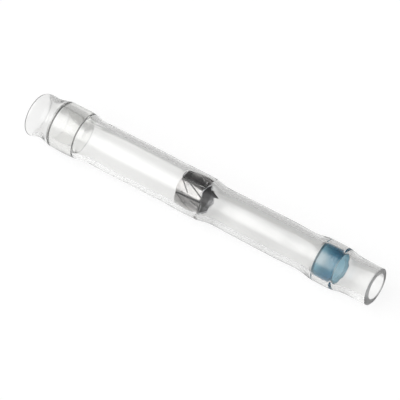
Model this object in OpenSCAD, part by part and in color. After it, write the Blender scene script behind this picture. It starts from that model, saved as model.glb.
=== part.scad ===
// Solder sleeve: a clear heat-shrink tube, shrunk a little onto the three rings that it carries.
// The tube lies along X on the small flat of its widest part, at Z = 0. X = 0 is halfway along it.
// The flared end is at -X, the plain end past the blue ring at +X.

/* [Tube] */
// Length of the tube on its axis, from cut to cut
tube_len = 40; // [36:0.5:48]
// Slant of the cut at the flared end
flared_slant = 8; // [0:1:12]
// Slant of the cut at the plain end
plain_slant = 6; // [0:1:12]
// Side that the cuts lean to, in degrees from the top towards -Y
cut_side = 30; // [0:5:355]
// Wall of the plain end; the rest follows, as shrinking keeps the wall's section area
plain_wall = 0.6; // [0.45:0.01:0.75]
// Bore of the plain end
plain_bore = 2.82; // [2.4:0.02:3.4]
// Bore of the slim half, between the solder ring and the blue ring
slim_bore = 3.06; // [2.6:0.02:3.7]
// Bore where the slim half is drawn in, next to each of those rings
slim_waist_bore = 2.9; // [2.4:0.02:3.5]
// Bore of the wide half, between the clear ring and the solder ring
wide_bore = 3.65; // [3.1:0.01:4.4]
// Bore where the wide half is drawn in, next to each of those rings
wide_waist_bore = 3.53; // [3:0.01:4.3]
// Bore of the short neck between the flare and the clear ring
neck_bore = 3.36; // [2.9:0.02:4.1]
// Bore at the lip of the flare
flare_bore = 4.54; // [3.6:0.02:4.8]
// Wall at the lip of the flare, drawn out thin
lip_wall = 0.22; // [0.15:0.01:0.35]
// Length of the flare, from the lip to the neck
flare_len = 1.1; // [0.8:0.05:1.3]
// Length that the film takes to close in past a ring's edge
drape_len = 1.5; // [1:0.05:1.8]
// The same beside the flare, where there is less room
neck_drape_len = 0.8; // [0.6:0.05:1]
// The same between the blue ring and the plain end
end_drape_len = 1.2; // [0.8:0.05:1.5]
// Length that the outside takes to round over each edge of a ring
shoulder_len = 0.15; // [0.05:0.05:0.3]
// Depth of the flat that the soft film takes where the widest part lies on a table
rest_flat = 0.04; // [0:0.01:0.08]

/* [Clear ring] */
// Distance from the flared end to the clear ring
clear_inset = 2.4; // [2.4:0.05:3.5]
// Length of the clear ring
clear_len = 2.9; // [2:0.05:4]
// Outer diameter of the clear ring
clear_od = 4.28; // [3.6:0.02:5.2]
// Wall of the clear ring
clear_wall = 0.42; // [0.25:0.01:0.6]

/* [Solder ring] */
// Distance from the flared end to the solder ring's clean end
solder_inset = 17.55; // [15:0.05:19]
// Length of the solder ring to the foot of its torn end
solder_len = 2.8; // [2:0.05:3.6]
// Outer diameter of the solder ring
solder_od = 3.68; // [3.2:0.02:4.4]
// Thickness of the solder strip
solder_wall = 0.27; // [0.22:0.01:0.35]
// How far the longest tooth of the torn end reaches past its foot
tear_len = 0.5; // [0.2:0.05:0.8]
// Width of the slit where the two ends of the strip meet
slit_w = 0.15; // [0.06:0.01:0.2]
// Depth of the scores and creases in the strip
score_depth = 0.14; // [0.06:0.01:0.16]

/* [Blue ring] */
// Distance from the plain end to the blue ring
blue_inset = 3.9; // [3:0.05:5]
// Length of the blue ring
blue_len = 2.25; // [1.6:0.05:3]
// Outer diameter of the blue ring
blue_od = 3.58; // [3:0.02:4.3]
// Wall of the blue ring
blue_wall = 0.39; // [0.25:0.01:0.5]

/* [Fits] */
// Gap left between each ring and the tube shrunk onto it
ring_gap = 0.02; // [0.01:0.01:0.05]
// Rounding of the melt rings' edges
melt_round = 0.1; // [0.05:0.01:0.12]

/* [Hidden] */
$fn = 96;

// Ends of the tube and of each ring, along the axis
flared_x = -tube_len / 2;
plain_x = tube_len / 2;
clear_x0 = flared_x + clear_inset;
clear_x1 = clear_x0 + clear_len;
solder_x0 = flared_x + solder_inset;
solder_x1 = solder_x0 + solder_len;
blue_x1 = plain_x - blue_inset;
blue_x0 = blue_x1 - blue_len;

// Bore radius where the tube grips each ring
clear_seat_r = clear_od / 2 + ring_gap;
solder_seat_r = solder_od / 2 + ring_gap;
blue_seat_r = blue_od / 2 + ring_gap;

// Wall section area over pi, the same all along the tube
wall_section = pow(plain_bore / 2 + plain_wall, 2) - pow(plain_bore / 2, 2);
function outer_r(bore_r) = sqrt(pow(bore_r, 2) + wall_section);
lip_r = flare_bore / 2 + lip_wall;
widest_r = max(outer_r(max(clear_seat_r, solder_seat_r, blue_seat_r)), lip_r);
axis_z = widest_r - rest_flat;

// Past a waist, the bore takes up to this many drape lengths more to reach its even size
ease_len = 2 * drape_len;
waist_len = 0.4;
spare_len = 2;

// Stretches of even bore, as [start, end, bore radius, held by a ring].
// round_by draws the stretch over each ring in at both ends, for the outside.
function even_stretches(round_by) = [
    [flared_x - spare_len, flared_x, flare_bore / 2, false],
    [flared_x + flare_len, clear_x0 - neck_drape_len, neck_bore / 2, false],
    [clear_x0 + round_by, clear_x1 - round_by, clear_seat_r, true],
    [clear_x1 + drape_len, clear_x1 + drape_len + waist_len, wide_waist_bore / 2, false],
    [clear_x1 + ease_len, solder_x0 - ease_len, wide_bore / 2, false],
    [solder_x0 - drape_len / 2 - waist_len, solder_x0 - drape_len / 2, wide_waist_bore / 2, false],
    [solder_x0 + round_by, solder_x1 - round_by, solder_seat_r, true],
    [solder_x1 + drape_len, solder_x1 + drape_len + waist_len, slim_waist_bore / 2, false],
    [solder_x1 + drape_len + ease_len, blue_x0 - drape_len - ease_len, slim_bore / 2, false],
    [blue_x0 - drape_len - waist_len, blue_x0 - drape_len, slim_waist_bore / 2, false],
    [blue_x0 + round_by, blue_x1 - round_by, blue_seat_r, true],
    [blue_x1 + end_drape_len, plain_x + spare_len, plain_bore / 2, false],
];
blend_steps = 8;
// Share of the way from one bore to the next; the film leaves a ring's edge at its steepest
function share(f, from_ring, to_ring) =
    from_ring ? sin(90 * f) : to_ring ? 1 - cos(90 * f) : (1 - cos(180 * f)) / 2;
function blend(a, b) = [
    for (i = [1 : blend_steps - 1])
        let (f = i / blend_steps)
        [a[2] + (b[2] - a[2]) * share(f, a[3], b[3]), a[1] + (b[0] - a[1]) * f]
];
function stretch_ends(s) = [[s[2], s[0]], [s[2], s[1]]];
function joined(list) = [
    for (i = [0 : len(list) - 1])
        each i == 0
            ? stretch_ends(list[0])
            : concat(blend(list[i - 1], list[i]), stretch_ends(list[i]))
];
function reversed(list) = [for (i = [len(list) - 1 : -1 : 0]) list[i]];
bore_line = joined(even_stretches(0));
// The wall thins evenly from the neck to the lip of the flare
neck_wall = outer_r(neck_bore / 2) - neck_bore / 2;
function flare_wall(x) = lip_wall + (neck_wall - lip_wall) * max(x - flared_x, 0) / flare_len;
outer_line = [
    for (p = joined(even_stretches(shoulder_len)))
        [p[1] < flared_x + flare_len ? p[0] + flare_wall(p[1]) : outer_r(p[0]), p[1]]
];

// Lays a shape made along +Z on the tube's axis, with its foot at x and its own +X side up
module on_axis(x = 0) {
    translate([x, 0, axis_z]) rotate([0, 90, 0]) rotate([0, 0, 180]) children();
}

// Keeps what lies between the two slanted end cuts
module between_cuts() {
    intersection() {
        children();
        rotate([0, 0, cut_side])
            translate([0, 0, flared_x])
                rotate([0, flared_slant, 0])
                    cylinder(h = 2 * tube_len, r = tube_len);
        rotate([0, 0, cut_side])
            translate([0, 0, plain_x])
                rotate([0, 180 + plain_slant, 0])
                    cylinder(h = 2 * tube_len, r = tube_len);
    }
}

module sleeve_tube() {
    color([0.86, 0.88, 0.88, 0.35])
        difference() {
            on_axis()
                between_cuts()
                    rotate_extrude()
                        polygon(concat(outer_line, reversed(bore_line)));
            translate([-tube_len, -tube_len, -tube_len])
                cube([2 * tube_len, 2 * tube_len, tube_len]);
        }
}

// A plain band of melt material with rounded edges
module melt_ring(band_len, outer_d, wall) {
    inner_r = outer_d / 2 - wall;
    rotate_extrude()
        translate([inner_r, 0])
            union() {
                translate([melt_round, 0]) square([wall - 2 * melt_round, band_len]);
                translate([0, melt_round]) square([wall, band_len - 2 * melt_round]);
                for (x = [melt_round, wall - melt_round], y = [melt_round, band_len - melt_round])
                    translate([x, y]) circle(r = melt_round);
            }
}

module clear_seal_ring() {
    color([0.93, 0.93, 0.91, 0.8])
        on_axis(clear_x0)
            melt_ring(clear_len, clear_od, clear_wall);
}

module blue_seal_ring() {
    color([0.31, 0.55, 0.66])
        on_axis(blue_x0)
            melt_ring(blue_len, blue_od, blue_wall);
}

// Flats pressed into the rolled strip, as [angle, depth at the middle]
solder_flats = [[15, 0.05], [52, 0.04], [88, 0.05], [150, 0.04], [205, 0.05], [262, 0.05], [322, 0.05]];
// Creases and scores in the strip, as [first angle, distance from the clean end, last angle, distance, width]
solder_creases = [
    [53, 0.2, 115, 2.75, 0.26], [9, 0.24, 38, 1.34, 0.22], [11, 1.47, 34, 2.73, 0.2], [55, 1.5, 64, 2.35, 0.24],
    [340, 0.3, 2, 1.2, 0.14], [312, 0.9, 338, 2.2, 0.14], [331, 1.7, 352, 2.6, 0.14], [285, 0.6, 318, 1.9, 0.14],
    [128, 0.5, 158, 1.9, 0.16], [168, 0.9, 200, 2.3, 0.16], [222, 0.3, 250, 1.6, 0.16], [258, 1.2, 280, 2.4, 0.16],
];
crease_steps = 5;
// Notches between the teeth of the torn end, as [angle, width, depth]
solder_notches = [[183, 0.5, 0.2], [207, 0.34, 0.13], [231, 0.46, 0.36], [252, 0.6, 0.4], [270, 0.46, 0.24]];
slit_side = 46;
slit_lean = 4;
tooth_side = 240;

// Puts a cutter on the strip's outer face at an angle, facing outwards
module on_strip(angle, along) {
    rotate([0, 0, angle]) translate([solder_od / 2, 0, along]) children();
}

module strip_flats() {
    for (f = solder_flats)
        on_strip(f[0], 0)
            translate([-f[1], -solder_od / 2, -solder_len])
                cube([solder_od, solder_od, 4 * solder_len]);
}

// V grooves along each crease, in short straight steps round the strip
module strip_creases() {
    for (c = solder_creases) {
        turn = (c[2] - c[0] + 360) % 360 / crease_steps;
        run = (c[3] - c[1]) / crease_steps;
        across = solder_od * sin(turn / 2);
        for (i = [0 : crease_steps - 1])
            on_strip(c[0] + turn * (i + 0.5), c[1] + run * (i + 0.5))
                rotate([-atan(across / run), 0, 0])
                    linear_extrude(height = norm([across, run]) + c[4] / 2, center = true)
                        polygon([[-score_depth, 0], [score_depth, c[4]], [score_depth, -c[4]]]);
    }
}

// The torn end: a cut that leaves one side longer, with notches between its teeth
module torn_end() {
    lean = atan(tear_len / solder_od);
    translate([0, 0, solder_len + tear_len / 2])
        rotate([0, 0, tooth_side])
            rotate([0, -lean, 0])
                translate([-solder_od, -solder_od, 0])
                    cube(2 * solder_od);
    for (n = solder_notches)
        on_strip(n[0], solder_len + tear_len)
            rotate([0, -90, 0])
                linear_extrude(height = 4 * solder_wall, center = true)
                    polygon([[-n[2], 0], [tear_len, -n[1]], [tear_len, n[1]]]);
}

// The room that the tube leaves, so that the teeth of the torn end bend in with the film
module inside_film() {
    translate([0, 0, -solder_x0])
        rotate_extrude()
            polygon(concat(
                [for (p = bore_line) [p[0] - ring_gap, p[1]]],
                [[0, bore_line[len(bore_line) - 1][1]], [0, bore_line[0][1]]]
            ));
}

module solder_ring() {
    color([0.5, 0.5, 0.51])
        on_axis(solder_x0)
            difference() {
                intersection() {
                    cylinder(h = solder_len + tear_len, d = solder_od);
                    inside_film();
                }
                translate([0, 0, -solder_len])
                    cylinder(h = 3 * solder_len, d = solder_od - 2 * solder_wall);
                strip_flats();
                strip_creases();
                torn_end();
                on_strip(slit_side, solder_len / 2)
                    rotate([slit_lean, 0, 0])
                        cube([4 * solder_wall, slit_w, 3 * solder_len], center = true);
            }
}

sleeve_tube();
clear_seal_ring();
solder_ring();
blue_seal_ring();
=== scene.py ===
"""Looks of the solder sleeve: a clear heat-shrink tube that grips a milky, a solder and a blue ring.

Lengths in the shape tables are in millimetres, as in the CAD; every mesh is made in metres.
Angles round the tube run from its top towards -Y, the side that the camera is on.
"""
import math

import bpy
import numpy as np
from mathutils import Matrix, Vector, noise


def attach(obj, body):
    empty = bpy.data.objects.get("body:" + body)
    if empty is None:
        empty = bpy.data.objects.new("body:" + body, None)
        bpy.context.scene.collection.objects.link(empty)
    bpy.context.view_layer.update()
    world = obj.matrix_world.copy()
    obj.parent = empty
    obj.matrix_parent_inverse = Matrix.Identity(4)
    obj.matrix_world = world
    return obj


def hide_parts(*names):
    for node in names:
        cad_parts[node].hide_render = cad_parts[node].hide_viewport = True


MM = 0.001

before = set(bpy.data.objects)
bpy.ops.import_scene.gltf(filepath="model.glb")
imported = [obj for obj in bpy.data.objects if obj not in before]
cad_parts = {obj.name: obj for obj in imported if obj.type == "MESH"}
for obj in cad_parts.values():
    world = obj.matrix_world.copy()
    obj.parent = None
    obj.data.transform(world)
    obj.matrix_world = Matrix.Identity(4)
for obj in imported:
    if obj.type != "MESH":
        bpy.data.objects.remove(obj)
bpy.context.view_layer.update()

# The tube's profile, with the CAD's sizes
TUBE_LEN = 40.0
FLARED_SLANT, PLAIN_SLANT, CUT_SIDE = 8.0, 6.0, 30.0
PLAIN_WALL, PLAIN_BORE = 0.6, 2.82
SLIM_BORE, SLIM_WAIST_BORE = 3.06, 2.9
WIDE_BORE, WIDE_WAIST_BORE = 3.65, 3.53
NECK_BORE, FLARE_BORE, FLARE_LEN, LIP_WALL = 3.36, 4.54, 1.1, 0.22
DRAPE, NECK_DRAPE, END_DRAPE, SHOULDER = 1.5, 0.8, 1.2, 0.15
WAIST_LEN = 0.4
REST_FLAT = 0.04
CLEAR_INSET, CLEAR_LEN, CLEAR_OD, CLEAR_WALL = 2.4, 2.9, 4.28, 0.42
SOLDER_INSET, SOLDER_LEN, SOLDER_OD, SOLDER_WALL = 17.55, 2.8, 3.68, 0.27
BLUE_INSET, BLUE_LEN, BLUE_OD, BLUE_WALL = 3.9, 2.25, 3.58, 0.39
RING_GAP = 0.02
# The profile goes on past both ends by this much, for the slanted cuts
END_ROOM = 2.0

# What the film's inside does past the CAD: it closes in past a ring over this share of the drape,
# and past the clear ring's two ends within the second value, on the camera's side
BORE_EASE = 0.7
CLEAR_CLOSE = 0.05

FLARED_X, PLAIN_X = -TUBE_LEN / 2, TUBE_LEN / 2
CLEAR_X0 = FLARED_X + CLEAR_INSET
CLEAR_X1 = CLEAR_X0 + CLEAR_LEN
SOLDER_X0 = FLARED_X + SOLDER_INSET
SOLDER_X1 = SOLDER_X0 + SOLDER_LEN
BLUE_X1 = PLAIN_X - BLUE_INSET
BLUE_X0 = BLUE_X1 - BLUE_LEN
CLEAR_SEAT, SOLDER_SEAT, BLUE_SEAT = (od / 2 + RING_GAP for od in (CLEAR_OD, SOLDER_OD, BLUE_OD))
WALL_SECTION = (PLAIN_BORE / 2 + PLAIN_WALL) ** 2 - (PLAIN_BORE / 2) ** 2


def outer_of(bore):
    """The outside over a bore, so that the wall's section has the same area all along."""
    return np.sqrt(np.square(bore) + WALL_SECTION)


AXIS_Z = float(outer_of(CLEAR_SEAT)) - REST_FLAT
NECK_WALL = float(outer_of(NECK_BORE / 2)) - NECK_BORE / 2


def stretches(round_by, ease, close=None):
    """(start, end, bore radius, held by a ring) of each even stretch.
    The film over a ring is drawn in at the ring's two ends by the first value."""
    drape, reach = DRAPE * ease, 2 * DRAPE
    left_close = NECK_DRAPE if close is None else close
    right_close = drape if close is None else close
    return [
        (FLARED_X - END_ROOM, FLARED_X, FLARE_BORE / 2, False),
        (FLARED_X + FLARE_LEN, CLEAR_X0 - left_close, NECK_BORE / 2, False),
        (CLEAR_X0 + round_by, CLEAR_X1 - round_by, CLEAR_SEAT, True),
        (CLEAR_X1 + right_close, CLEAR_X1 + drape + WAIST_LEN, WIDE_WAIST_BORE / 2, False),
        (CLEAR_X1 + reach, SOLDER_X0 - reach, WIDE_BORE / 2, False),
        (SOLDER_X0 - drape / 2 - WAIST_LEN, SOLDER_X0 - drape / 2, WIDE_WAIST_BORE / 2, False),
        (SOLDER_X0 + round_by, SOLDER_X1 - round_by, SOLDER_SEAT, True),
        (SOLDER_X1 + drape, SOLDER_X1 + drape + WAIST_LEN, SLIM_WAIST_BORE / 2, False),
        (SOLDER_X1 + DRAPE + reach, BLUE_X0 - DRAPE - reach, SLIM_BORE / 2, False),
        (BLUE_X0 - drape - WAIST_LEN, BLUE_X0 - drape, SLIM_WAIST_BORE / 2, False),
        (BLUE_X0 + round_by, BLUE_X1 - round_by, BLUE_SEAT, True),
        (BLUE_X1 + END_DRAPE * ease, PLAIN_X + END_ROOM, PLAIN_BORE / 2, False),
    ]


def bore_r(x, round_by, ease, close=None):
    """Bore radius at x. The film leaves a ring's edge at its steepest and eases in elsewhere."""
    rows = stretches(round_by, ease, close)
    r = np.full_like(x, rows[0][2])
    for (_, end, r0, from_ring), (start, _, r1, to_ring) in zip(rows, rows[1:]):
        f = np.clip((x - end) / (start - end), 0, 1)
        if from_ring:
            share = np.sin(np.pi / 2 * f)
        elif to_ring:
            share = 1 - np.cos(np.pi / 2 * f)
        else:
            share = (1 - np.cos(np.pi * f)) / 2
        r = np.where(x >= end, r0 + (r1 - r0) * share, r)
    return r


def outside_of(bore, x):
    """The outside over a bore; the wall thins towards the lip of the flare."""
    flare = bore + LIP_WALL + (NECK_WALL - LIP_WALL) * np.maximum(x - FLARED_X, 0) / FLARE_LEN
    return np.where(x < FLARED_X + FLARE_LEN, flare, outer_of(bore))


# The film's steps at the rings are crisp on the camera's side and gradual round at the sides:
# there the film stays wide a little past a ring and is blurred along the tube
GRADUAL_SPARE, GRADUAL_BLUR = 0.3, 0.42
STEP, BLUR_STEPS = 0.02, 60
STEP_X = np.arange(FLARED_X - END_ROOM, PLAIN_X + END_ROOM, STEP)
# Up to this far right of the clear ring both faces of the gradual film close in together
TOGETHER_LEN = 2.4
# Middle of the camera's side, and how far from it the crisp film ends and the gradual one begins, in degrees
CRISP_MIDDLE, CRISP_HALF, CRISP_FADE = 30.5, 38.0, 68.0


def gradual_bore(ease):
    weights = np.exp(-np.square(np.arange(-BLUR_STEPS, BLUR_STEPS + 1) * STEP / GRADUAL_BLUR) / 2)
    padded = np.pad(bore_r(STEP_X, -GRADUAL_SPARE, ease), BLUR_STEPS, mode="edge")
    return np.convolve(padded, weights / weights.sum(), mode="valid")


def from_middle(alpha):
    """Degrees round the tube from the middle of the camera's side."""
    return np.abs((np.degrees(alpha) - CRISP_MIDDLE + 180) % 360 - 180)


def gradual_share(alpha):
    f = np.clip((from_middle(alpha) - CRISP_HALF) / (CRISP_FADE - CRISP_HALF), 0, 1)
    return f * f * (3 - 2 * f)


def film_bore(x, alpha, round_by, ease, close=None):
    share = gradual_share(alpha)
    gradual = np.interp(x, STEP_X, gradual_bore(ease))
    if close is not None:
        together = np.interp(x, STEP_X, gradual_bore(1.0))
        gradual = np.where(x < CLEAR_X1 + TOGETHER_LEN, together, gradual)
    crisp = bore_r(x, round_by, ease, close)
    return crisp * (1 - share) + gradual * share


# Mesh helpers
def mesh_object(name, points, faces):
    me = bpy.data.meshes.new(name)
    me.from_pydata(points, [], faces)
    me.update()
    ob = bpy.data.objects.new(name, me)
    bpy.context.scene.collection.objects.link(ob)
    return ob


def loop_mesh(name, rings):
    """A closed skin through rings, an array [ring][point round][xyz] in metres, joined last to first."""
    n, m, _ = rings.shape
    points = rings.reshape(-1, 3)
    i, j = np.meshgrid(np.arange(n), np.arange(m), indexing="ij")
    next_i, next_j = (i + 1) % n, (j + 1) % m
    corners = [i * m + j, i * m + next_j, next_i * m + next_j, next_i * m + j]
    faces = np.stack(corners, -1).reshape(-1, 4)
    p = points[faces]
    normal = np.cross(p[:, 2] - p[:, 0], p[:, 3] - p[:, 1])
    inside_out = np.einsum("ij,ij->", p.mean(1), normal) < 0
    if inside_out:
        faces = faces[:, ::-1]
    ob = mesh_object(name, points.tolist(), faces.tolist())
    ob.data.shade_smooth()
    return ob


def place(x, r, alpha, centre_y=0.0, centre_z=0.0):
    """Points of the row frame, in metres, from mm along the axis, mm from it and radians round it."""
    y = centre_y - r * np.sin(alpha)
    z = AXIS_Z + centre_z + r * np.cos(alpha)
    return np.stack(np.broadcast_arrays(x, y, z), -1) * MM


def waves(x, alpha, scale_x, scale_a, seed):
    """Smooth noise between about -1 and 1 over the tube, as an array of the shape of x with alpha."""
    xs, alphas = np.broadcast_arrays(x, alpha)
    out = []
    for at, turn in zip(xs.ravel(), alphas.ravel()):
        place_in_noise = (at * scale_x + seed, math.cos(turn) * scale_a, math.sin(turn) * scale_a + seed)
        out.append(noise.noise(place_in_noise))
    return np.array(out).reshape(xs.shape)


def bump(x, centre, width):
    return np.exp(-np.square((x - centre) / width))


# The tube. Its ends are slanted, and the flare and the mouth's bore lie off the axis
LIP_STEPS = 5
FLARE_LIP, MOUTH_LIP = 0.07, 0.05
CUT_STEPS = (0.33, 0.67)
# How far into the tube the shape of each end reaches
FLARE_REACH, MOUTH_REACH = 2.0, 2.6
FLARE_OFF, FLARE_OFF_SIDE = 0.17, math.radians(120)
FLARE_OFF_MOST, FLARE_OFF_CURVE = 1.1, 1.5
MOUTH_OFF, MOUTH_OFF_SIDE = 0.24, math.radians(228)
MOUTH_SPARE, MOUTH_NARROW = 0.1, 0.05
# The wall's slow unevenness, as (size, waves per mm, waves round, seed)
SWAY = [(0.012, 0.16, 0.9, 3.0), (0.004, 0.7, 1.6, 11.0)]
# The film is steady where a ring holds it, as (middle of the ring, width)
STEADY = [
    ((CLEAR_X0 + CLEAR_X1) / 2, 2.2),
    ((SOLDER_X0 + SOLDER_X1) / 2, 2.4),
    ((BLUE_X0 + BLUE_X1) / 2, 1.8),
]
# Steps of the mesh along the tube: plain, at a ring's edge, and how near that edge starts
PLAIN_STEP, EDGE_STEP, EDGE_ROOM = 0.4, 0.05, 0.28
# Points round the tube, as (from, to, how many): closer together on the side that the camera sees
ROUND_STRETCHES = [(-78, -32, 31), (-32, 6, 44), (6, 106, 50), (106, 138, 21), (138, 282, 72)]
ROUND_TUBE = np.radians(np.concatenate([np.linspace(*s, endpoint=False) for s in ROUND_STRETCHES]))


def along_tube():
    """Places along the tube, closer together at the edges of the rings."""
    edges = []
    for x0, x1 in ((CLEAR_X0, CLEAR_X1), (SOLDER_X0, SOLDER_X1), (BLUE_X0, BLUE_X1)):
        edges += [x0 + SHOULDER / 2, x1 - SHOULDER / 2]
    places = [FLARED_X]
    while places[-1] < PLAIN_X - 1e-9:
        x = places[-1]
        near = min(abs(x + EDGE_STEP - e) for e in edges)
        places.append(x + (EDGE_STEP if near < EDGE_ROOM else PLAIN_STEP))
    places[-1] = PLAIN_X
    for x in (CLEAR_X0, CLEAR_X1):
        places += [x + CLEAR_CLOSE * share for share in (-1, -0.5, 0, 0.5, 1)]
    return np.unique(np.round(places, 4))


def cut_shift(r, alpha, slant):
    """How far a slanted end cut lies past the tube's nominal end at radius r."""
    return -r * np.cos(alpha - math.radians(CUT_SIDE)) * math.tan(math.radians(slant))


def near_flare(x):
    return np.clip(1 - (x - FLARED_X) / FLARE_REACH, 0, 1)


def near_mouth(x):
    return np.clip(1 - (PLAIN_X - x) / MOUTH_REACH, 0, 1)


def wall_x(nominal, alpha, r_left, r_right):
    """Places along one face of the wall up to the rounding of its two lips."""
    flare, mouth = near_flare(nominal), near_mouth(nominal)
    left = cut_shift(r_left, alpha, FLARED_SLANT)
    right = cut_shift(r_right, alpha, PLAIN_SLANT)
    cut = nominal + left * flare + (right + MOUTH_SPARE) * mouth
    return cut + FLARE_LIP * flare - MOUTH_LIP * mouth


# Faint creases along the film where it has shrunk past a ring, as
# (start, end, angle at the start, angle at the end, width in degrees, depth)
CREASES = [
    (-14.6, -12.7, -9.0, -13.0, 1.8, 0.040),
    (-14.5, -13.0, -2.0, -5.0, 1.5, 0.028),
    (-14.3, -12.2, -19.0, -23.0, 1.8, 0.034),
    (1.2, 3.4, 0.0, -4.0, 1.8, 0.018),
    (10.9, 12.6, 2.0, 5.0, 1.8, 0.022),
]


def creases(x, alpha):
    out = np.zeros(np.broadcast(x, alpha).shape)
    for x0, x1, a0, a1, width, depth in CREASES:
        f = (x - x0) / (x1 - x0)
        centre = np.radians(a0 + (a1 - a0) * np.clip(f, 0, 1))
        away = (alpha - centre + np.pi) % (2 * np.pi) - np.pi
        ends = np.where((f > 0) & (f < 1), np.sin(np.pi * np.clip(f, 0, 1)), 0)
        out += depth * ends * np.exp(-np.square(away / math.radians(width)))
    return out


# Where the film touches a ring it is drawn in by this much, so that no air is left between
CLEAR_TOUCH, SOLDER_TOUCH = 0.035, 0.08
# Length at a ring's ends in which the touch fades
TOUCH_FADE = 0.1
# The film touches the solder ring from an angle that changes along it, as (x, degrees), to a fixed one
SOLDER_TOUCH_FROM = [(-2.6, -24), (-1.6, -31), (-0.8, -38), (0.1, -44), (0.5, -46)]
SOLDER_TOUCH_TO, SOLDER_TOUCH_FADE = 5, 5


def contact(x, alpha):
    """How far the bore is drawn in: all over the clear ring, and on a patch of the solder ring."""
    off_clear = np.abs(x - (CLEAR_X0 + CLEAR_X1) / 2)
    on_clear = np.clip((CLEAR_LEN / 2 - off_clear) / TOUCH_FADE + 1, 0, 1)
    places, angles = np.array(SOLDER_TOUCH_FROM).T
    degrees = (np.degrees(alpha) + 180) % 360 - 180
    rises = np.clip((degrees - np.interp(x, places, angles)) / SOLDER_TOUCH_FADE, 0, 1)
    falls = np.clip((SOLDER_TOUCH_TO - degrees) / SOLDER_TOUCH_FADE, 0, 1)
    along = np.clip((SOLDER_LEN / 2 - np.abs(x - (SOLDER_X0 + SOLDER_X1) / 2)) / TOUCH_FADE, 0, 1)
    return CLEAR_TOUCH * on_clear + SOLDER_TOUCH * (rises * falls * along)


def lip_turn(x_outer, x_inner, r_outer, r_inner, side, lip):
    """Rings that round the outer edge, cross the cut and round the inner edge, as (places, radii)."""
    turns = [math.pi / 2 * k / LIP_STEPS for k in range(1, LIP_STEPS + 1)]
    rows = []
    for f in turns:
        rows.append((x_outer + side * lip * math.sin(f), r_outer - lip * (1 - math.cos(f))))
    for f in CUT_STEPS:
        r = (r_outer - lip) + (r_inner - r_outer + 2 * lip) * f
        rows.append((x_outer + (x_inner - x_outer) * f + side * lip, r))
    for f in reversed(turns):
        rows.append((x_inner + side * lip * math.sin(f), r_inner + lip * (1 - math.cos(f))))
    return rows


def tube_rings():
    alpha = ROUND_TUBE[None, :]
    nominal = along_tube()[:, None]
    xo = wall_x(nominal, alpha, FLARE_BORE / 2 + LIP_WALL, float(outer_of(PLAIN_BORE / 2)))
    xi = wall_x(nominal, alpha, FLARE_BORE / 2, PLAIN_BORE / 2)
    ro = outside_of(film_bore(xo, alpha, SHOULDER, 1.0), xo)
    ri = film_bore(xi, alpha, 0.0, BORE_EASE, CLEAR_CLOSE) - contact(xi, alpha)
    # the wall's slow unevenness moves both faces together, so the wall keeps its thickness
    sway = sum(size * waves(xo, alpha, *scales_and_seed) for size, *scales_and_seed in SWAY)
    loose = 1
    for middle, width in STEADY:
        loose = loose - bump(xo, middle, width)
    sway = sway * np.clip(loose, 0, 1)
    ro = ro + sway - creases(xo, alpha)
    # the bore lies off the middle at the mouth
    ri = ri + sway + near_mouth(xi) * (MOUTH_OFF * np.cos(alpha - MOUTH_OFF_SIDE) - MOUTH_NARROW)

    rows = list(zip(xo, ro))
    rows += lip_turn(xo[-1], xi[-1], ro[-1], ri[-1], 1, MOUTH_LIP)
    rows += list(zip(xi, ri))[::-1]
    rows += lip_turn(xo[0], xi[0], ro[0], ri[0], -1, FLARE_LIP)[::-1]
    x, r = (np.array(part) for part in zip(*rows))
    past_flare = np.clip((FLARED_X + FLARE_LEN - x) / FLARE_LEN, 0, FLARE_OFF_MOST)
    off = FLARE_OFF * past_flare ** FLARE_OFF_CURVE
    rings = place(x, r, alpha, -off * math.sin(FLARE_OFF_SIDE), off * math.cos(FLARE_OFF_SIDE))
    # the widest part rests on a small flat
    rings[..., 2] = np.maximum(rings[..., 2], 0)
    return rings


tube = loop_mesh("heat_shrink_tube", tube_rings())
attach(tube, "root")
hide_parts("sleeve_tube")


# The two melt rings
RING_ROUND, CORNER_STEPS, BAND_PLACES = 144, 5, 24
TAPER_STEPS = np.linspace(0.06, 0.94, 9)
# The far side of a melt ring, in degrees from the middle of the camera's side
FAR_FROM, FAR_TO = 105.0, 150.0
# Unevenness of a ring's ends: its size, how fast it fades inwards, and each end's place in the noise
END_WAVE, END_CURVE, LEFT_NOISE, RIGHT_NOISE = 0.03, 4, 9.0, 5.0
# Waves of the ends along and round the ring, then the size and the waves of the inner face
END_WAVES = (1, 0.8)
INNER_WAVE, INNER_WAVES = 0.012, (0.8, 1.1)
# Rounding of the outer edges, and lengths of the inner edges' taper on the camera's and on the far side
CLEAR_EDGE, CLEAR_TAPERS = 0.05, (0.05, 1.1)
BLUE_EDGE, BLUE_TAPERS = 0.1, (0.13, 0.13)
# The blue ring reaches this much further right than its CAD node, and its right end slants by this much
BLUE_SPARE, BLUE_END_SLANT = 0.12, 6.5
CLEAR_SEED, BLUE_SEED = 21.0, 33.0


def band_profile(x0, x1, outer_r, wall, edge, taper):
    """Section of a band of melt, as (x, radius), with rounded outer edges and tapered inner ones."""
    inner_r, rise = outer_r - wall, wall - edge
    rows = [(x, outer_r) for x in np.linspace(x0 + edge, x1 - edge, BAND_PLACES)]
    turns = [math.pi / 2 * k / CORNER_STEPS for k in range(1, CORNER_STEPS + 1)]
    for f in turns:
        rows.append((x1 - edge * (1 - math.sin(f)), outer_r - edge * (1 - math.cos(f))))
    rows += [(x1 - taper * (1 - f), inner_r + rise * f) for f in TAPER_STEPS[::-1]]
    rows += [(x, inner_r) for x in np.linspace(x1 - taper, x0 + taper, BAND_PLACES)]
    rows += [(x0 + taper * (1 - f), inner_r + rise * f) for f in TAPER_STEPS]
    for f in reversed(turns):
        rows.append((x0 + edge * (1 - math.sin(f)), outer_r - edge * (1 - math.cos(f))))
    return np.array(rows)


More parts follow.
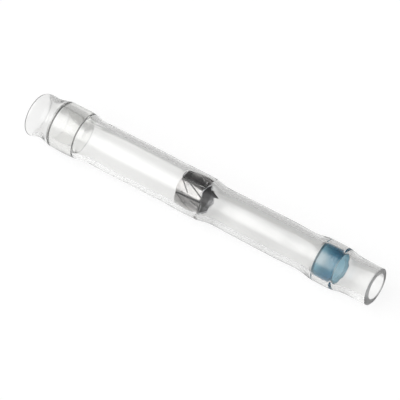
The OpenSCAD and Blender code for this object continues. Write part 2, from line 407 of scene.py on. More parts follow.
def melt_ring(name, x0, x1, outer_r, wall, edge, tapers, end_slant, seed):
    """A band of melt. Its inner edges run out over the first of two tapers on the camera's side and
    over the second on the far side."""
    alpha = np.linspace(0, 2 * np.pi, RING_ROUND, endpoint=False)[None, :]
    far = np.clip((from_middle(alpha) - FAR_FROM) / (FAR_TO - FAR_FROM), 0, 1)
    near_rows, far_rows = (band_profile(x0, x1, outer_r, wall, edge, taper) for taper in tapers)
    x = near_rows[:, :1] * (1 - far) + far_rows[:, :1] * far
    r = near_rows[:, 1:] * (1 - far) + far_rows[:, 1:] * far
    middle, half = (x0 + x1) / 2, (x1 - x0) / 2
    near_end = np.clip(np.abs(x - middle) / half, 0, 1) ** END_CURVE
    right = waves(np.full_like(x, RIGHT_NOISE), alpha, *END_WAVES, seed)
    left = waves(np.full_like(x, LEFT_NOISE), alpha, *END_WAVES, seed)
    xx = x + END_WAVE * near_end * np.where(x > middle, right, left)
    # the slanted right end reaches further on the side away from the camera
    lean = np.tan(np.radians(end_slant)) * np.clip((x - x0) / (x1 - x0), 0, 1)
    xx = xx - lean * r * np.cos(alpha - math.radians(CRISP_MIDDLE))
    inner = np.where(r < outer_r - wall / 2, INNER_WAVE, 0.0)
    rr = r + inner * waves(xx, alpha, *INNER_WAVES, seed + 2)
    return loop_mesh(name, place(xx, rr, alpha))


clear_ring = melt_ring(
    "clear_melt_ring", CLEAR_X0, CLEAR_X1, CLEAR_OD / 2, CLEAR_WALL, CLEAR_EDGE, CLEAR_TAPERS,
    0.0, CLEAR_SEED
)
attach(clear_ring, "root")
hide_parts("clear_seal_ring")

blue_ring = melt_ring(
    "blue_melt_ring", BLUE_X0, BLUE_X1 + BLUE_SPARE, BLUE_OD / 2, BLUE_WALL, BLUE_EDGE, BLUE_TAPERS,
    BLUE_END_SLANT, BLUE_SEED
)
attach(blue_ring, "root")
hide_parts("blue_seal_ring")


# The solder ring: a strip rolled up, with a slanting slit where its ends meet
SCORE_DEPTH, TEAR_LEN = 0.14, 0.8
# Flats pressed into the strip, as (angle, depth at the clean end, depth at the torn end)
SOLDER_FLATS = [
    (30, 0.035, 0.045), (55, 0.04, 0.03), (88, 0.05, 0.04), (150, 0.04, 0.05),
    (205, 0.05, 0.04), (262, 0.04, 0.05), (314, 0.05, 0.05), (354, 0.065, 0.115),
]
# A flat reaches round to where the cosine from its middle is this
FLAT_REACH = 0.5
# Creases and scores, as (first angle, distance from the clean end, last angle, distance, width)
SOLDER_CREASES = [
    (55, 0.15, 104, 2.85, 0.22), (9, 0.24, 38, 1.34, 0.11), (11, 1.2, 34, 2.8, 0.12),
    (60, 2.0, 68, 2.95, 0.26), (318, 1.45, 337, 2.05, 0.1), (350, 2.0, 366, 2.7, 0.09),
    (331, 1.7, 352, 2.6, 0.09), (285, 0.6, 318, 1.9, 0.12), (128, 0.5, 158, 1.9, 0.16),
    (168, 0.9, 200, 2.3, 0.16), (222, 0.3, 250, 1.6, 0.16), (258, 1.2, 280, 2.4, 0.16),
]
# Outline of the torn end, as (angle, share of TEAR_LEN past the foot)
TORN_LINE = [
    (20, -0.18), (31, 0.1), (50, 0.12), (54, 0.3), (72, 0.34), (84, 0.3), (108, 0.1), (135, 0.15),
    (147, 0.25), (158, 0.6), (168, 0.48), (178, 0.36), (189, 0.38), (207, 0.58), (222, 0.38), (233, 0.28),
    (242, 1), (250, 0), (259, -0.08), (268, -0.12), (284, -0.15), (300, 0.12), (320, 0.2), (336, 0.15),
    (353, -0.05), (371, -0.22), (380, -0.18),
]
TORN_OVERLAP = 1.3
# Bevels across the clean end, as (angle, depth at the outer face)
CLEAN_BEVELS = [(100, 0.24), (322, 0.16)]
BEVEL_REACH = 1.1
SLIT_SIDE, SLIT_W = 52.0, 0.12
SLIT_LEAN, SLIT_SLANT = math.radians(3), math.radians(50)
SLIT_SHIFT_ROOM, SLIT_SINE_MOST = 40.0, 0.97
SHARP_FROM = math.radians(50)
STRIP_ROWS = 72
# Angles round the strip, from one side of the slit to the other, closer together where the camera sees it
STRIP_STRETCHES = [(SLIT_SIDE, 130, 87), (130, 290, 100), (290, SLIT_SIDE + 360, 136)]
# The strip's outline depends on its radius and the other way round, so it is found in a few turns
STRIP_TURNS = 4


def strip_seat(along):
    return bore_r(SOLDER_X0 + along, 0.0, BORE_EASE) - RING_GAP


def strip_outer(beta, along):
    """Radius of the strip's outer face, by degrees round it and mm from its clean end."""
    full = SOLDER_OD / 2
    r = strip_seat(along)
    for angle, clean_depth, torn_depth in SOLDER_FLATS:
        toward = np.cos(np.radians(beta - angle))
        flat = full - clean_depth - (torn_depth - clean_depth) / SOLDER_LEN * along
        r = np.where(toward > FLAT_REACH, np.minimum(r, flat / np.maximum(toward, FLAT_REACH)), r)
    for first, start, last, end, width in SOLDER_CREASES:
        turn = (last - first) % 360
        round_strip = np.radians((beta - first - turn / 2 + 180) % 360 - 180 + turn / 2) * full
        across, run = math.radians(turn) * full, end - start
        length = math.hypot(across, run)
        ahead = (round_strip * across + (along - start) * run) / length
        aside = np.abs(round_strip * run - (along - start) * across) / length
        inside = (ahead > -width / 4) & (ahead < length + width / 4)
        depth = SCORE_DEPTH * np.clip(1 - 2 * aside / width, 0, 1)
        r = np.where(inside, np.minimum(r, full - depth), r)
    return r


def strip_inner(_, along):
    return strip_seat(along) - SOLDER_WALL


def torn_end(beta):
    """Where the torn end lies. Each straight cut runs on a little past its stretch, as in a tear."""
    out = np.full(beta.shape, np.inf)
    for turn in (-360, 0, 360):
        for (a0, v0), (a1, v1) in zip(TORN_LINE, TORN_LINE[1:]):
            at = beta + turn
            inside = (at >= a0 - TORN_OVERLAP) & (at <= a1 + TORN_OVERLAP)
            cut = v0 + (v1 - v0) * (at - a0) / (a1 - a0)
            out = np.where(inside, np.minimum(out, cut), out)
    return SOLDER_LEN + TEAR_LEN * out


def clean_end(beta, r):
    out = np.zeros(beta.shape)
    for angle, depth in CLEAN_BEVELS:
        inward = r * np.cos(np.radians(beta - angle)) - SOLDER_OD / 2
        out = np.maximum(out, depth + depth / BEVEL_REACH * inward)
    return out


def slit_shift(side, r, along):
    """Degrees from the slit's middle line on the outer face to one side of the slit at radius r."""
    half = side * SLIT_W / 2
    q = (half - math.sin(SLIT_LEAN) * (along - SOLDER_LEN / 2)) / math.cos(SLIT_LEAN)
    sine = (q - SOLDER_OD / 2 * math.sin(SLIT_SLANT)) / r
    return np.degrees(SLIT_SLANT + np.arcsin(np.clip(sine, -SLIT_SINE_MOST, SLIT_SINE_MOST)))


def strip_face(radius_of, first_r):
    """Points of one face of the strip, [along][round], where radius_of gives its radius."""
    rows = np.linspace(0, 1, STRIP_ROWS)[:, None]
    parts = [np.linspace(*s, endpoint=False) for s in STRIP_STRETCHES]
    stops = np.concatenate(parts + [[STRIP_STRETCHES[-1][1]]])
    at_start = np.clip(1 - (stops - stops[0]) / SLIT_SHIFT_ROOM, 0, 1)
    at_end = np.clip(1 - (stops[-1] - stops) / SLIT_SHIFT_ROOM, 0, 1)
    along = rows * SOLDER_LEN + 0 * stops
    r = np.full(along.shape, first_r)
    for _ in range(STRIP_TURNS):
        beta = stops + slit_shift(1, r, along) * at_start + slit_shift(-1, r, along) * at_end
        foot, top = clean_end(beta, r), torn_end(beta)
        along = foot + (top - foot) * rows
        r = radius_of(beta, along)
    return place(SOLDER_X0 + along, r, np.radians(beta))


def solder_strip(name):
    outer = strip_face(strip_outer, SOLDER_OD / 2)
    inner = strip_face(strip_inner, SOLDER_OD / 2 - SOLDER_WALL)
    # one closed loop along the outer face and back along the inner one for each place round the strip
    loops = np.concatenate([outer, inner[::-1]], 0).transpose(1, 0, 2)
    columns, points, _ = loops.shape
    i, j = np.meshgrid(np.arange(columns - 1), np.arange(points), indexing="ij")
    this, following = i * points, (i + 1) * points
    next_j = (j + 1) % points
    corners = [this + j, following + j, following + next_j, this + next_j]
    faces = np.stack(corners, -1).reshape(-1, 4).tolist()
    # the two faces of the slit
    last = (columns - 1) * points
    for k in range(STRIP_ROWS - 1):
        a, b, c, d = k, k + 1, points - 2 - k, points - 1 - k
        faces.append([a, b, c, d])
        faces.append([last + d, last + c, last + b, last + a])
    ob = mesh_object(name, loops.reshape(-1, 3).tolist(), faces)
    ob.data.shade_smooth()
    ob.data.set_sharp_from_angle(angle=SHARP_FROM)
    return ob


solder_ring = solder_strip("solder_strip_ring")
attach(solder_ring, "root")
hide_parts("solder_ring")


# Material helpers
BUMP_DEPTH = 0.0001


def new_material(name):
    mat = bpy.data.materials.new(name)
    mat.use_nodes = True
    nt = mat.node_tree
    return mat, nt, nt.nodes["Principled BSDF"]


def node(nt, kind, **settings):
    n = nt.nodes.new(kind)
    for key, value in settings.items():
        if key in n.inputs:
            n.inputs[key].default_value = value
        else:
            setattr(n, key, value)
    return n


def math_node(nt, operation, *values):
    """A math node; each value is a number or another node's output."""
    n = nt.nodes.new("ShaderNodeMath")
    n.operation = operation
    for socket, value in zip(n.inputs, values):
        if isinstance(value, (int, float)):
            socket.default_value = value
        else:
            nt.links.new(value, socket)
    return n.outputs[0]


def mapped(nt, value, from_min, from_max, to_min, to_max, smooth=False):
    n = node(nt, "ShaderNodeMapRange")
    if smooth:
        n.interpolation_type = "SMOOTHSTEP"
    n.inputs["From Min"].default_value = from_min
    n.inputs["From Max"].default_value = from_max
    n.inputs["To Min"].default_value = to_min
    n.inputs["To Max"].default_value = to_max
    nt.links.new(value, n.inputs["Value"])
    return n.outputs["Result"]


def ramp_node(nt, value, stops):
    """A colour ramp; each stop is (position, colour)."""
    n = node(nt, "ShaderNodeValToRGB")
    while len(n.color_ramp.elements) < len(stops):
        n.color_ramp.elements.new(0.5)
    for element, (position, colour) in zip(n.color_ramp.elements, stops):
        element.position = position
        element.color = (*colour, 1)
    nt.links.new(value, n.inputs["Fac"])
    return n.outputs["Color"]


def grey_ramp(nt, value, table, first, last, blue=1.0):
    """A ramp through a table of (place, grey), where the value runs from 0 at first to 1 at last."""
    return ramp_node(nt, value, [((at - first) / (last - first), (v, v, v * blue)) for at, v in table])


def only_material(ob, mat):
    ob.data.materials.clear()
    ob.data.materials.append(mat)


def stretched_noise(nt, along, across, detail, rough=0.5):
    """Noise in object space, drawn out along the tube when along is under across."""
    coords = node(nt, "ShaderNodeTexCoord")
    mapping = node(nt, "ShaderNodeMapping")
    mapping.inputs["Scale"].default_value = (along, across, across)
    tex = node(nt, "ShaderNodeTexNoise", Scale=1.0, Detail=detail, Roughness=rough)
    nt.links.new(coords.outputs["Object"], mapping.inputs["Vector"])
    nt.links.new(mapping.outputs["Vector"], tex.inputs["Vector"])
    return tex.outputs["Fac"]


def end_facing(nt, low, high):
    """1 on faces that look along the tube, 0 on those that look away from it."""
    coords = node(nt, "ShaderNodeTexCoord")
    split = node(nt, "ShaderNodeSeparateXYZ")
    nt.links.new(coords.outputs["Normal"], split.inputs[0])
    return mapped(nt, math_node(nt, "ABSOLUTE", split.outputs["X"]), low, high, 0, 1)


def colour_mix(nt, factor, a, b):
    """Mixes two colours, each a tuple or another node's output."""
    mix = node(nt, "ShaderNodeMix", data_type="RGBA")
    nt.links.new(factor, mix.inputs["Factor"])
    for socket, value in (("A", a), ("B", b)):
        colour_socket = [i for i in mix.inputs if i.name == socket and i.type == "RGBA"][0]
        if isinstance(value, tuple):
            colour_socket.default_value = (*value, 1)
        else:
            nt.links.new(value, colour_socket)
    return [o for o in mix.outputs if o.type == "RGBA"][0]


def object_parts(nt):
    """X of the shaded point and its distance from the axis, in mm, and its angle round the tube, 0 to 1."""
    coords = node(nt, "ShaderNodeTexCoord")
    split = node(nt, "ShaderNodeSeparateXYZ")
    nt.links.new(coords.outputs["Object"], split.inputs[0])
    x = math_node(nt, "MULTIPLY", split.outputs["X"], 1 / MM)
    y = math_node(nt, "MULTIPLY", split.outputs["Y"], 1 / MM)
    z = math_node(nt, "SUBTRACT", math_node(nt, "MULTIPLY", split.outputs["Z"], 1 / MM), AXIS_Z)
    squares = math_node(nt, "ADD", math_node(nt, "MULTIPLY", y, y), math_node(nt, "MULTIPLY", z, z))
    angle = math_node(nt, "ARCTAN2", math_node(nt, "MULTIPLY", y, -1.0), z)
    turn = math_node(nt, "FRACT", math_node(nt, "ADD", math_node(nt, "DIVIDE", angle, 2 * math.pi), 1.0))
    return x, math_node(nt, "SQRT", squares), turn


def add_bump(nt, bsdf, height, strength):
    b = node(nt, "ShaderNodeBump", Strength=strength, Distance=BUMP_DEPTH)
    nt.links.new(height, b.inputs["Height"])
    nt.links.new(b.outputs["Normal"], bsdf.inputs["Normal"])


# The film: clear, a little hazy, with a cut face at the mouth that the blade has frosted
FILM_COLOUR, FILM_IOR, FILM_HAZE = (0.998, 0.998, 0.992), 1.49, 0.03
FILM_ROUGH, CUT_ROUGH, NECK_ROUGH = (0.02, 0.09), 0.5, 0.12
# The cut face starts between these distances from the plain end, on faces that look along the tube, and
# the neck's haze, where the film was drawn in, comes and goes between these distances from the flared end
CUT_STARTS, CUT_FACING = (0.7, 0.5), (0.35, 0.8)
NECK_COMES, NECK_GOES = (0.5, 0.9), (1.9, 2.3)
FILM_BUMP = 0.08
# The cut face's grey and its share of frost round the tube, as (degrees from the top, value)
CUT_TONES = [
    (0, 0.82), (30, 0.68), (75, 0.8), (120, 0.78), (150, 0.92),
    (210, 1.0), (270, 0.9), (300, 0.82), (360, 0.82),
]
CUT_FROST = [
    (0, 0.68), (75, 0.55), (100, 0.4), (120, 0.68), (145, 0.5),
    (170, 0.0), (250, 0.0), (285, 0.5), (360, 0.68),
]


def film_material():
    mat, nt, bsdf = new_material("clear_film_look")
    bsdf.inputs["IOR"].default_value = FILM_IOR
    haze = mapped(nt, stretched_noise(nt, along=120, across=900, detail=3, rough=0.6), 0, 1, *FILM_ROUGH)
    x, _, turn = object_parts(nt)
    cut_from, cut_full = (PLAIN_X - distance for distance in CUT_STARTS)
    at_mouth = mapped(nt, x, cut_from, cut_full, 0, 1)
    on_cut = math_node(nt, "MULTIPLY", end_facing(nt, *CUT_FACING), at_mouth)
    cut_tone = grey_ramp(nt, turn, CUT_TONES, 0, 360)
    nt.links.new(colour_mix(nt, on_cut, FILM_COLOUR, cut_tone), bsdf.inputs["Base Color"])
    frost = math_node(nt, "MULTIPLY", on_cut, grey_ramp(nt, turn, CUT_FROST, 0, 360))
    nt.links.new(math_node(nt, "SUBTRACT", 1 - FILM_HAZE, frost), bsdf.inputs["Transmission Weight"])
    comes = mapped(nt, x, *(FLARED_X + distance for distance in NECK_COMES), 0, NECK_ROUGH)
    goes = mapped(nt, x, *(FLARED_X + distance for distance in NECK_GOES), 1, 0)
    rough = math_node(nt, "ADD", haze, math_node(nt, "MULTIPLY", on_cut, CUT_ROUGH))
    rough = math_node(nt, "ADD", rough, math_node(nt, "MULTIPLY", comes, goes))
    nt.links.new(rough, bsdf.inputs["Roughness"])
    add_bump(nt, bsdf, stretched_noise(nt, along=150, across=1500, detail=2), FILM_BUMP)
    return mat


# The two melts
MELT_IOR, MELT_BUMP = 1.48, 0.1
MILKY_COLOUR, MILKY_ROUGH = (0.995, 0.995, 0.985, 1), (0.03, 0.08)


def milky_material():
    mat, nt, bsdf = new_material("milky_melt_look")
    bsdf.inputs["Base Color"].default_value = MILKY_COLOUR
    bsdf.inputs["Transmission Weight"].default_value = 1.0
    bsdf.inputs["IOR"].default_value = MELT_IOR
    tex = stretched_noise(nt, along=700, across=700, detail=4)
    nt.links.new(mapped(nt, tex, 0, 1, *MILKY_ROUGH), bsdf.inputs["Roughness"])
    add_bump(nt, bsdf, tex, MELT_BUMP)
    return mat


# The solder: mottled on its outer face, as (tone, colour)
SOLDER_TONES = [(0.38, (0.36, 0.355, 0.355)), (0.64, (0.76, 0.74, 0.725))]
# Painted shade in the grooves and along the slit, and the bright colour of the cut ends
GROOVE_SHADE, SLIT_SHADE, BRIGHT_CUT = (0.05, 0.05, 0.055), (0.02, 0.02, 0.022), (0.8, 0.81, 0.83)
# Depths under the outer face between which the painted shade in the grooves ends
GROOVE_SHADE_DEPTHS = (0.12, 0.06)
# Depths under the outer face between which the inner face starts
INSIDE_DEPTHS = (SOLDER_WALL - 0.02, SOLDER_WALL - 0.05)
# Half of the width of the painted shade along the slit, and the width of its soft edge
SLIT_SHADE_HALF, SLIT_SHADE_EDGE = 0.05, 0.05
# Painted shade on the solder ring's inner face round it, as (degrees, grey): darker at the back, lighter
# below
INSIDE_SHADE_TONES = [
    (0, 0.2), (150, 0.8), (172, 0.85), (179, 0.5), (190, 0.42), (202, 0.6),
    (212, 0.42), (226, 0.36), (237, 0.24), (252, 0.14), (360, 0.08),
]
INSIDE_BLUE, INSIDE_UNSTEADY = 1.03, 0.12
# Shares of the fine and the broad mottle, the roughness by the fine one, and what the grooves add to it
FINE_SHARE, BROAD_SHARE = 0.6, 0.4
SOLDER_ROUGH, GROOVE_ROUGH = (0.2, 0.4), 0.2
SOLDER_BUMP, SOLDER_END_FACING = 0.3, (0.8, 0.95)
# The inner face is in shadow beside the torn end's short side, up to an x that changes with the angle
SHADE_FROM, SHADE_TO, SHADE_WIDTH = (156, -0.5), (230, -0.93), 0.12
SHADE_COLOUR = (0.03, 0.03, 0.033)


def solder_inside(nt, x, turn, unsteady):
    """Colour of the solder ring's inner face, with painted shade round it and a painted shadow beside the
    torn end.
    """
    inner = grey_ramp(nt, math_node(nt, "ADD", turn, unsteady), INSIDE_SHADE_TONES, 0, 360, INSIDE_BLUE)
    (first_angle, first_x), (last_angle, last_x) = SHADE_FROM, SHADE_TO
    edge = mapped(nt, turn, first_angle / 360, last_angle / 360, first_x, last_x)
    half = SHADE_WIDTH / 2
    past_edge = mapped(nt, math_node(nt, "SUBTRACT", x, edge), -half, half, 0, 1, smooth=True)
    return colour_mix(nt, past_edge, SHADE_COLOUR, inner)


def off_slit(nt, x, turn):
    """Distance round the strip from the slit's middle line, in mm."""
    along = math_node(nt, "SUBTRACT", x, (SOLDER_X0 + SOLDER_X1) / 2)
    lean = math_node(nt, "MULTIPLY", along, math.tan(SLIT_LEAN))
    side = math_node(nt, "MULTIPLY", math_node(nt, "SUBTRACT", turn, SLIT_SIDE / 360), math.pi * SOLDER_OD)
    return math_node(nt, "ABSOLUTE", math_node(nt, "ADD", side, lean))


def solder_material():
    mat, nt, bsdf = new_material("solder_look")
    bsdf.inputs["Metallic"].default_value = 1.0
    fine = stretched_noise(nt, along=1500, across=1500, detail=4, rough=0.6)
    broad = stretched_noise(nt, along=500, across=900, detail=2)
    fine_part = math_node(nt, "MULTIPLY", fine, FINE_SHARE)
    tone = math_node(nt, "ADD", fine_part, math_node(nt, "MULTIPLY", broad, BROAD_SHARE))
    bright = ramp_node(nt, tone, SOLDER_TONES)
    # painted shade lies in the grooves, along the slit and over the inner face, and the cut ends are bright
    x, away, turn = object_parts(nt)
    # 1 on the outer face and 0 down in the grooves, where shade is painted
    clean = mapped(nt, away, *(SOLDER_OD / 2 - depth for depth in GROOVE_SHADE_DEPTHS), 0, 1, smooth=True)
    inside = mapped(nt, away, *(SOLDER_OD / 2 - depth for depth in INSIDE_DEPTHS), 1, 0)
    unsteady = math_node(nt, "MULTIPLY", math_node(nt, "SUBTRACT", broad, 0.5), INSIDE_UNSTEADY)
    # painted shade: dark in the grooves, shaded tones on the inner face
    deep_shade = colour_mix(nt, inside, GROOVE_SHADE, solder_inside(nt, x, turn, unsteady))
    body = colour_mix(nt, clean, deep_shade, bright)
    # painted shade along the slit
    shade_end = SLIT_SHADE_HALF + SLIT_SHADE_EDGE
    in_slit = mapped(nt, off_slit(nt, x, turn), SLIT_SHADE_HALF, shade_end, 1, 0, smooth=True)
    body = colour_mix(nt, in_slit, body, SLIT_SHADE)
    end = end_facing(nt, *SOLDER_END_FACING)
    nt.links.new(colour_mix(nt, end, body, BRIGHT_CUT), bsdf.inputs["Base Color"])
    shiny = mapped(nt, fine, 0, 1, *SOLDER_ROUGH)
    rough = math_node(nt, "ADD", shiny, mapped(nt, clean, 0, 1, GROOVE_ROUGH, 0))
    nt.links.new(rough, bsdf.inputs["Roughness"])
    add_bump(nt, bsdf, tone, SOLDER_BUMP)
    return mat


# The blue melt, as (place in its mottle, colour): where one looks through it and along its wall
BLUE_THIN = [(0.25, (0.5, 0.69, 0.77)), (0.6, (0.2, 0.53, 0.72))]
BLUE_DEEP = [(0.25, (0.11, 0.4, 0.58)), (0.6, (0.04, 0.31, 0.54))]
BLUE_INSIDE_PALE, BLUE_INSIDE_DEEP = (0.78, 0.87, 0.91), (0.62, 0.8, 0.88)
BLUE_END = (0.92, 0.98, 1.0)
# The mottle's size, and a painted highlight that makes the ring paler towards its left end
BLUE_MOTTLE, BLUE_LEFT_HIGHLIGHT = 1.4, 0.25
# Facing values between which one comes to look along the wall, and heights over the inner radius
# between which the inner face ends
EDGE_ON, BLUE_INSIDE_RISE = (0.03, 0.16), (0.03, 0.08)
# The ring's ends: how far a face must look along the tube, their clearness and their roughness
BLUE_END_FACING, BLUE_CLEARNESS, BLUE_END_ROUGH = (0.7, 0.9), (0.92, 1.0), 0.4
BLUE_ROUGH = (0.2, 0.34)


def blue_material():
    """Tinted melt: deeper where one looks along its wall, and paler towards the ring's left end, a painted
    highlight.
    """
    mat, nt, bsdf = new_material("blue_melt_look")
    bsdf.inputs["IOR"].default_value = MELT_IOR
    tex = stretched_noise(nt, along=450, across=450, detail=3)
    x, away, _ = object_parts(nt)
    # painted highlight: the ring is paler towards its left end
    along = mapped(nt, x, BLUE_X0, BLUE_X1, -BLUE_LEFT_HIGHLIGHT, BLUE_LEFT_HIGHLIGHT)
    mottle = math_node(nt, "MULTIPLY", math_node(nt, "SUBTRACT", tex, 0.5), BLUE_MOTTLE)
    where = math_node(nt, "ADD", math_node(nt, "ADD", mottle, along), 0.5)
    facing = node(nt, "ShaderNodeLayerWeight", Blend=0.5)
    edge_on = mapped(nt, facing.outputs["Facing"], *EDGE_ON, 0, 1, smooth=True)
    body = colour_mix(nt, edge_on, ramp_node(nt, where, BLUE_THIN), ramp_node(nt, where, BLUE_DEEP))
    inside = mapped(nt, away, *(BLUE_OD / 2 - BLUE_WALL + rise for rise in BLUE_INSIDE_RISE), 1, 0)
    body = colour_mix(nt, inside, body, colour_mix(nt, where, BLUE_INSIDE_PALE, BLUE_INSIDE_DEEP))
    end = end_facing(nt, *BLUE_END_FACING)
    nt.links.new(colour_mix(nt, end, body, BLUE_END), bsdf.inputs["Base Color"])
    nt.links.new(mapped(nt, end, 0, 1, *BLUE_CLEARNESS), bsdf.inputs["Transmission Weight"])
    end_rough = math_node(nt, "MULTIPLY", end, BLUE_END_ROUGH)
    rough = math_node(nt, "ADD", mapped(nt, tex, 0, 1, *BLUE_ROUGH), end_rough)
    nt.links.new(rough, bsdf.inputs["Roughness"])
    add_bump(nt, bsdf, tex, MELT_BUMP)
    return mat


only_material(tube, film_material())
only_material(clear_ring, milky_material())
only_material(blue_ring, blue_material())
only_material(solder_ring, solder_material())

# The floor
FLOOR_HALF = 1.5
FLOOR_DROP = 0.00002
BOARD = (0.85, 0.85, 0.84, 1)
BACKGROUND_GLOW, BACKGROUND_DIFFUSE = 0.87, (0.25, 0.25, 0.25, 1)
# What glass and metal see of the floor: its glow by x in mm where they look steeply down on it, with dips
# that are painted shadows of the rings, and an even, dimmer one past an angle (as facing: 0 is straight
# down, 1 is grazing) that changes by x, a painted shadow of the tube
STEEP_GLOW = [
    (-20, 0.97), (-11, 1.0), (-5, 0.95), (-2.5, 0.92), (1, 0.72), (3.5, 0.92),
    (7, 0.84), (10, 0.9), (13, 0.84), (17.4, 0.8), (18.5, 1.0),
]
GRAZING_GLOW = (0.62, 0.62, 0.62)
STEEP_TO = [(-20, 0.30), (-16, 0.32), (-13, 0.36), (-3, 0.36), (0, 0.27), (20, 0.27)]
STEEP_FADE = 0.035
GLOW_REACH = 22.0


def seen_through_glass(nt):
    """The floor's glow as glass and metal see it, with painted shadows of the tube and of the rings."""
    x, _, _ = object_parts(nt)
    along = mapped(nt, x, -GLOW_REACH, GLOW_REACH, 0, 1)
    facing = node(nt, "ShaderNodeLayerWeight", Blend=0.5)
    steep_to = grey_ramp(nt, along, STEEP_TO, -GLOW_REACH, GLOW_REACH)
    past = math_node(nt, "SUBTRACT", facing.outputs["Facing"], steep_to)
    grazing = mapped(nt, past, -STEEP_FADE, STEEP_FADE, 0, 1, smooth=True)
    steep = grey_ramp(nt, along, STEEP_GLOW, -GLOW_REACH, GLOW_REACH)
    seen = node(nt, "ShaderNodeEmission", Strength=1.0)
    nt.links.new(colour_mix(nt, grazing, steep, GRAZING_GLOW), seen.inputs["Color"])
    return seen


def background(nt):
    """The floor as the camera sees it: a white glow that still takes a soft shadow."""
    both = node(nt, "ShaderNodeAddShader")
    dim = node(nt, "ShaderNodeBsdfDiffuse", Color=BACKGROUND_DIFFUSE)
    glow = node(nt, "ShaderNodeEmission", Color=(1, 1, 1, 1), Strength=BACKGROUND_GLOW)
    nt.links.new(dim.outputs[0], both.inputs[0])
    nt.links.new(glow.outputs[0], both.inputs[1])
    return both


def shader_mix(nt, factor, a, b):
    mix = node(nt, "ShaderNodeMixShader")
    nt.links.new(factor, mix.inputs[0])
    nt.links.new(a.outputs[0], mix.inputs[1])
    nt.links.new(b.outputs[0], mix.inputs[2])
    return mix


def white_floor():
    """A plain white board. The camera sees it as the white background with the object's soft shadow.
    Glass and metal see the same board with painted shadows of the tube and the rings: its glow dips by x and
    falls off at grazing angles."""
    h = FLOOR_HALF
    ob = mesh_object("floor", [(-h, -h, 0), (h, -h, 0), (h, h, 0), (-h, h, 0)], [(0, 1, 2, 3)])
    ob.location.z = -FLOOR_DROP
    mat = bpy.data.materials.new("floor_look")
    mat.use_nodes = True
    nt = mat.node_tree
    nt.nodes.clear()
    out = node(nt, "ShaderNodeOutputMaterial")
    path = node(nt, "ShaderNodeLightPath").outputs
    plain = node(nt, "ShaderNodeBsdfDiffuse", Color=BOARD)
    through = math_node(nt, "MAXIMUM", path["Is Transmission Ray"], path["Is Glossy Ray"])
    others = shader_mix(nt, through, plain, seen_through_glass(nt))
    surface = shader_mix(nt, path["Is Camera Ray"], others, background(nt))
    nt.links.new(surface.outputs[0], out.inputs["Surface"])
    ob.data.materials.append(mat)
    return ob


# The light: a pale horizon, a brighter front, a dim back, and a soft key light up on the left
HORIZON, FRONT, BACK = 0.47, 0.55, 0.05
# Y parts of the direction between which front turns into back, and Z parts where the horizon ends
FRONT_TO_BACK, HORIZON_FADE = (-0.6, 0.4), (0.15, 0.35)
# The key light's edges, by the X part of its direction and by the angle round the tube in degrees
KEY_X_FULL, KEY_X_EDGE = -0.28, -0.17
KEY_ANGLE, KEY_ANGLE_FULL, KEY_ANGLE_EDGE = 24.0, 22.0, 50.0
KEY_RADIANCE = 1.6


def room_light(nt, direction):
    """Strength of the room's light from a direction."""
    upper = mapped(nt, direction["Y"], *FRONT_TO_BACK, FRONT, BACK, smooth=True)
    height = mapped(nt, direction["Z"], *HORIZON_FADE, 0, 1, smooth=True)
    above = math_node(nt, "MULTIPLY", height, math_node(nt, "SUBTRACT", upper, HORIZON))
    return math_node(nt, "ADD", HORIZON, above)


def key_light(nt, direction):
    """Strength of the key light from a direction."""
    in_x = mapped(nt, direction["X"], KEY_X_FULL, KEY_X_EDGE, 1, 0, smooth=True)
    angle = math_node(nt, "ARCTAN2", math_node(nt, "MULTIPLY", direction["Y"], -1.0), direction["Z"])
    off = math_node(nt, "ABSOLUTE", math_node(nt, "SUBTRACT", angle, math.radians(KEY_ANGLE)))
    full, edge = math.radians(KEY_ANGLE_FULL), math.radians(KEY_ANGLE_EDGE)
    in_angle = mapped(nt, off, full, edge, 1, 0, smooth=True)
    return math_node(nt, "MULTIPLY", math_node(nt, "MULTIPLY", in_x, in_angle), KEY_RADIANCE)


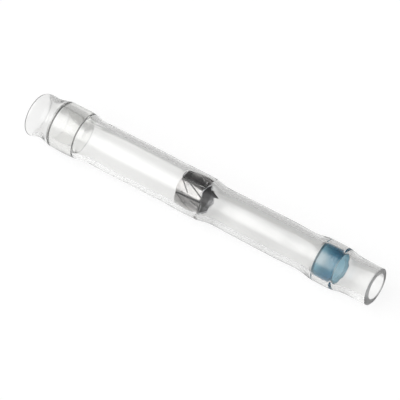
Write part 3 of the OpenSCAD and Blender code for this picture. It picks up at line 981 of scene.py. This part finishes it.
def studio_world():
    """The light that the object sees, behind a background that the camera sees as white."""
    world = bpy.data.worlds.new("studio")
    bpy.context.scene.world = world
    world.use_nodes = True
    nt = world.node_tree
    nt.nodes.clear()
    out = node(nt, "ShaderNodeOutputWorld")
    coords = node(nt, "ShaderNodeTexCoord")
    split = node(nt, "ShaderNodeSeparateXYZ")
    nt.links.new(coords.outputs["Generated"], split.inputs[0])
    lit = node(nt, "ShaderNodeBackground", Color=(1, 1, 1, 1))
    strength = math_node(nt, "ADD", room_light(nt, split.outputs), key_light(nt, split.outputs))
    nt.links.new(strength, lit.inputs["Strength"])
    white = node(nt, "ShaderNodeBackground", Color=(1, 1, 1, 1), Strength=1.0)
    path = node(nt, "ShaderNodeLightPath").outputs
    surface = shader_mix(nt, path["Is Camera Ray"], lit, white)
    nt.links.new(surface.outputs[0], out.inputs["Surface"])


# The camera: where it stands round and above the sleeve, and how far the sleeve's middle lies off
# the picture's middle, in mm
CAMERA_AZIMUTH, CAMERA_ELEVATION = math.radians(32.5), math.radians(54.6)
CAMERA_DISTANCE, CLIP_START, FOCAL_MM, SENSOR_MM = 0.235, 0.01, 208.9, 36
OFF_RIGHT, OFF_UP = 0.334, 0.233


def photo_camera():
    sin_a, cos_a = math.sin(CAMERA_AZIMUTH), math.cos(CAMERA_AZIMUTH)
    sin_e, cos_e = math.sin(CAMERA_ELEVATION), math.cos(CAMERA_ELEVATION)
    way = Vector((sin_a * cos_e, -cos_a * cos_e, sin_e))
    right = Vector((cos_a, sin_a, 0))
    up = Vector((-sin_a * sin_e, cos_a * sin_e, cos_e))
    look_at = Vector((0, 0, AXIS_Z * MM)) - right * (OFF_RIGHT * MM) - up * (OFF_UP * MM)
    cam = bpy.data.cameras.new("camera")
    cam.sensor_width = SENSOR_MM
    cam.lens = FOCAL_MM
    cam.clip_start = CLIP_START
    ob = bpy.data.objects.new("camera", cam)
    bpy.context.scene.collection.objects.link(ob)
    ob.location = look_at + way * CAMERA_DISTANCE
    ob.rotation_euler = way.to_track_quat("Z", "Y").to_euler()
    bpy.context.scene.camera = ob


white_floor()
studio_world()
photo_camera()
bpy.context.scene.view_settings.view_transform = "Standard"
